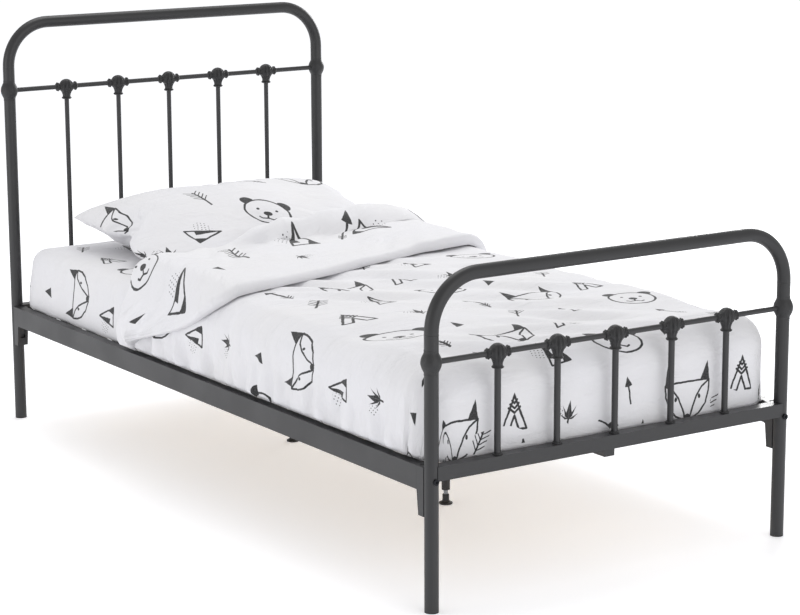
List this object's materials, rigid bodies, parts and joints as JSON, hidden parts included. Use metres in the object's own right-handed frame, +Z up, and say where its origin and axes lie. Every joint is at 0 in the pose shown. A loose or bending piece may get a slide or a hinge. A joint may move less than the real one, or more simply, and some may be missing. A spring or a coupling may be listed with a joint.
{
  "type": "single bed",
  "caption": "Iron-style single bed: bent tube hoops at head and foot, spindles with cast crossings, hooked side rails, slat deck, mattress, pillow and duvet.",
  "frame": {"origin": "on the floor, at the centre of the bed's outline", "axes": "+X to the right seen from the foot end, +Y towards the head end, +Z up"},
  "size_m": [0.9834, 1.9854, 1.065],
  "materials": {
    "frame_paint": "satin powder coat",
    "casting_paint": "satin powder coat over rough castings",
    "bolt_steel": "black oxide",
    "zinc_steel": "zinc plated",
    "black_plastic": "matt",
    "birch_ply": "sanded",
    "mattress_ticking": "woven ticking",
    "printed_cotton": "white percale with a sparse dark print"
  },
  "bodies": {
    "bed_frame": {"head_hoop": "frame_paint", "foot_hoop": "frame_paint", "head_cross_bar": "frame_paint", "foot_cross_bar": "frame_paint", "head_post_knob_left": "casting_paint", "head_post_knob_right": "casting_paint", "foot_post_knob_left": "casting_paint", "foot_post_knob_right": "casting_paint", "head_casting_1": "casting_paint", "head_casting_2": "casting_paint", "head_casting_3": "casting_paint", "head_casting_4": "casting_paint", "head_casting_5": "casting_paint", "foot_casting_1": "casting_paint", "foot_casting_2": "casting_paint", "foot_casting_3": "casting_paint", "foot_casting_4": "casting_paint", "foot_casting_5": "casting_paint", "head_spindle_1": "frame_paint", "head_spindle_2": "frame_paint", "head_spindle_3": "frame_paint", "head_spindle_4": "frame_paint", "head_spindle_5": "frame_paint", "foot_spindle_1": "frame_paint", "foot_spindle_2": "frame_paint", "foot_spindle_3": "frame_paint", "foot_spindle_4": "frame_paint", "foot_spindle_5": "frame_paint", "head_end_rail": "frame_paint", "foot_end_rail": "frame_paint", "side_rail_left": "frame_paint", "side_rail_right": "frame_paint", "head_receiver_left": "frame_paint", "head_receiver_right": "frame_paint", "foot_receiver_left": "frame_paint", "foot_receiver_right": "frame_paint", "head_rail_hook_left": "frame_paint", "head_rail_hook_right": "frame_paint", "foot_rail_hook_left": "frame_paint", "foot_rail_hook_right": "frame_paint", "rail_bolts": "bolt_steel", "post_feet": "black_plastic", "centre_beam": "frame_paint", "head_beam_saddle": "frame_paint", "foot_beam_saddle": "frame_paint", "centre_leg_head": "frame_paint", "centre_leg_foot": "frame_paint", "leg_inserts": "black_plastic", "slats": "birch_ply", "slat_holders": "black_plastic", "centre_clips": "black_plastic"},
    "mattress": {"mattress": "mattress_ticking", "fitted_sheet": "printed_cotton"},
    "pillow": {"pillow": "printed_cotton"},
    "duvet": {"duvet": "printed_cotton"},
    "head_stud": {"foot_stud_head": "zinc_steel"},
    "head_pad": {"foot_pad_head": "black_plastic"},
    "foot_stud": {"foot_stud_foot": "zinc_steel"},
    "foot_pad": {"foot_pad_foot": "black_plastic"}
  },
  "joints": [
    {"name": "mattress_lift", "type": "slide", "parent": "bed_frame", "child": "mattress", "axis": [0, 0, 1], "range_m": [0, 0.3]},
    {"name": "pillow_lift", "type": "slide", "parent": "mattress", "child": "pillow", "axis": [0, 0, 1], "range_m": [0, 0.25]},
    {"name": "duvet_lift", "type": "slide", "parent": "pillow", "child": "duvet", "axis": [0, 0, 1], "range_m": [0, 0.25]},
    {"name": "head_foot_travel", "type": "slide", "parent": "bed_frame", "child": "head_stud", "axis": [0, 0, 1], "range_m": [-0.012, 0.008]},
    {"name": "head_foot_turn", "type": "hinge", "parent": "head_stud", "child": "head_pad", "pos_m": [0, 0.345, 0], "axis": [0, 0, 1], "continuous": true},
    {"name": "foot_foot_travel", "type": "slide", "parent": "bed_frame", "child": "foot_stud", "axis": [0, 0, 1], "range_m": [-0.012, 0.008]},
    {"name": "foot_foot_turn", "type": "hinge", "parent": "foot_stud", "child": "foot_pad", "pos_m": [0, -0.345, 0], "axis": [0, 0, 1], "continuous": true}
  ],
  "couplings": [
    {"joint": "head_foot_turn", "follows": "head_foot_travel", "rad_per_m": 4188.8},
    {"joint": "foot_foot_turn", "follows": "foot_foot_travel", "rad_per_m": 4188.8}
  ]
}
